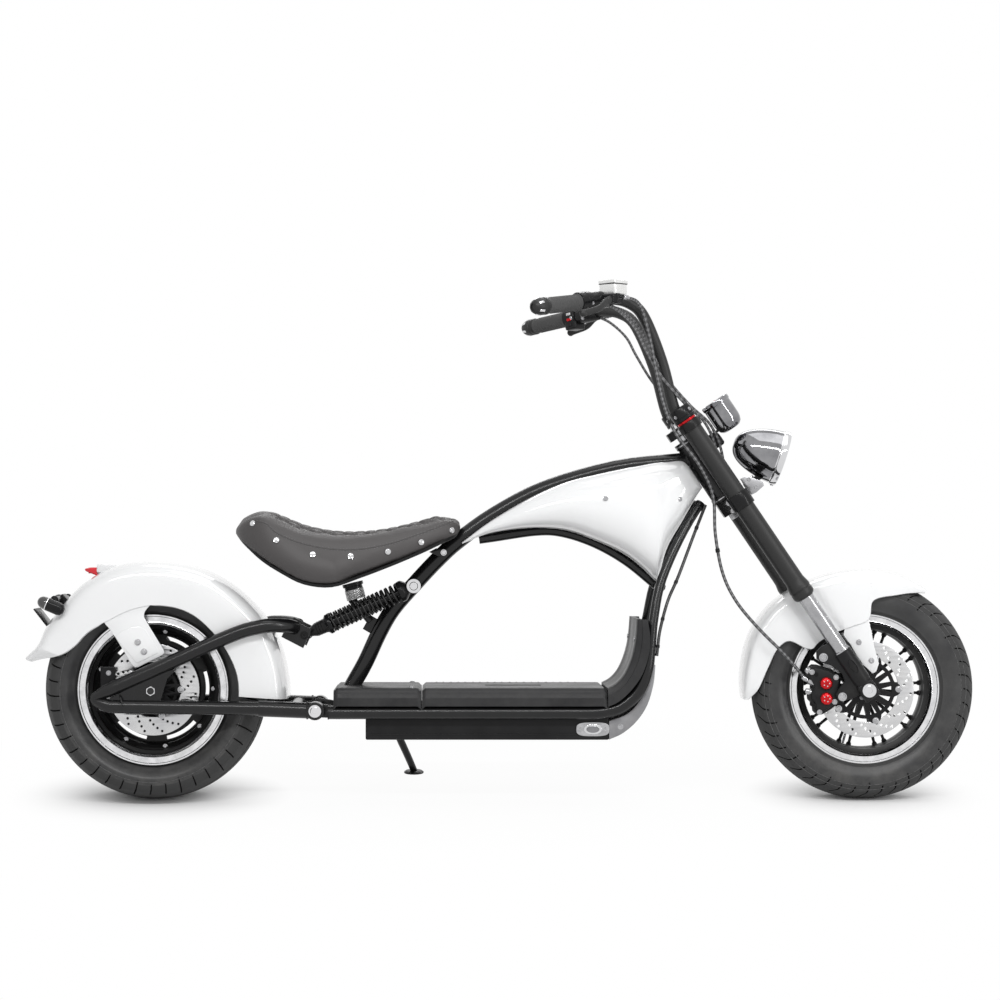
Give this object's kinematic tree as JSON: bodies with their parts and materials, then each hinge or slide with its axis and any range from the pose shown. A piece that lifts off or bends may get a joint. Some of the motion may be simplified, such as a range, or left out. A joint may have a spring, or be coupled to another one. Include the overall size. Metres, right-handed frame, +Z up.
{
  "type": "electric chopper scooter",
  "caption": "Two-wheeled electric chopper scooter with raked fork, high bars, floor boards over a battery box, fat rear tyre and low sprung seat.",
  "frame": {"origin": "on the ground below the middle of the parked scooter's box", "axes": "+X forwards along the scooter, +Y to the rider's left, +Z up"},
  "size_m": [2.0226, 0.6664, 1.1244],
  "materials": {
    "white_body": "gloss white paint",
    "frame_black": "satin black powder coat",
    "gloss_black": "gloss black",
    "wheel_black": "gloss black alloy with a polished lip",
    "tyre_rubber": "matte tread rubber",
    "grip_rubber": "ribbed dark grey rubber",
    "brake_steel": "brushed steel",
    "chrome_trim": "mirror chrome",
    "seat_leather": "black grained leather",
    "black_plastic": "textured black plastic",
    "cable_black": "braided black sheath",
    "lamp_red": "clear red plastic",
    "lamp_glass": "clear lens"
  },
  "bodies": {
    "chassis": {"arch_tube": "frame_black", "backbone_tube": "frame_black", "bash_plate": "brake_steel", "battery_box": "gloss_black", "battery_pack": "black_plastic", "cradle_tube_left": "frame_black", "cradle_tube_right": "frame_black", "floor_cover_front": "black_plastic", "floor_cover_rear": "black_plastic", "head_tube": "frame_black", "rear_axle": "brake_steel", "rear_caliper": "brake_steel", "rear_crossmember": "frame_black", "rear_fender": "white_body", "seat_cushion": "seat_leather", "seat_pan": "black_plastic", "seat_post": "brake_steel", "shock_left": "gloss_black", "shock_right": "gloss_black", "signal_bracket": "black_plastic", "stand_bracket": "frame_black", "swingarm_crossbar": "frame_black", "swingarm_left": "frame_black", "swingarm_pivot_bolt": "chrome_trim", "swingarm_right": "frame_black", "tail_lamp": "lamp_red", "tank_shell_left": "white_body", "tank_shell_right": "white_body", "wiring_harness": "cable_black"},
    "battery_lid_body": {"battery_lid": "black_plastic"},
    "steering": {"controls_left": "gloss_black", "controls_right": "gloss_black", "fork_slider_left": "chrome_trim", "fork_slider_right": "chrome_trim", "fork_tube_left": "gloss_black", "fork_tube_right": "gloss_black", "front_axle": "brake_steel", "front_brake_hose": "cable_black", "front_caliper": "gloss_black", "front_fender": "white_body", "gauge": "chrome_trim", "grip_left": "grip_rubber", "grip_right": "grip_rubber", "handlebar_left": "gloss_black", "handlebar_right": "gloss_black", "headlight": "chrome_trim", "headlight_bracket": "brake_steel", "headlight_lens": "lamp_glass", "lower_clamp_and_stem": "frame_black", "upper_clamp": "frame_black"},
    "front_wheel": {"front_brake_disc": "brake_steel", "front_rim": "wheel_black", "front_tyre": "tyre_rubber"},
    "rear_wheel": {"rear_brake_disc": "brake_steel", "rear_rim_and_motor": "wheel_black", "rear_tyre": "tyre_rubber"},
    "stand_leg": {"side_stand": "frame_black"}
  },
  "joints": [
    {"name": "steering", "type": "hinge", "parent": "chassis", "child": "steering", "pos_m": [0.49255, -0.04886, 0.6242], "axis": [-0.5587, 0.101, 0.8232], "range_deg": [-30, 30]},
    {"name": "front_wheel_spin", "type": "hinge", "parent": "steering", "child": "front_wheel", "pos_m": [0.77543, -0.09674, 0.23411], "axis": [-0.0001, 0.9925, -0.1219], "continuous": true},
    {"name": "rear_wheel_spin", "type": "hinge", "parent": "chassis", "child": "rear_wheel", "pos_m": [-0.73907, -0.09674, 0.23493], "axis": [-0.0001, 0.9925, -0.1219], "continuous": true},
    {"name": "battery_lid_hinge", "type": "hinge", "parent": "chassis", "child": "battery_lid_body", "pos_m": [-0.16907, -0.09595, 0.24108], "axis": [0.0001, -0.9925, 0.1219], "range_deg": [0, 45]},
    {"name": "side_stand_fold", "type": "hinge", "parent": "chassis", "child": "stand_leg", "pos_m": [-0.23912, 0.04349, 0.14591], "axis": [-0.0877, 0.8329, 0.5464], "range_deg": [0, 97]}
  ]
}
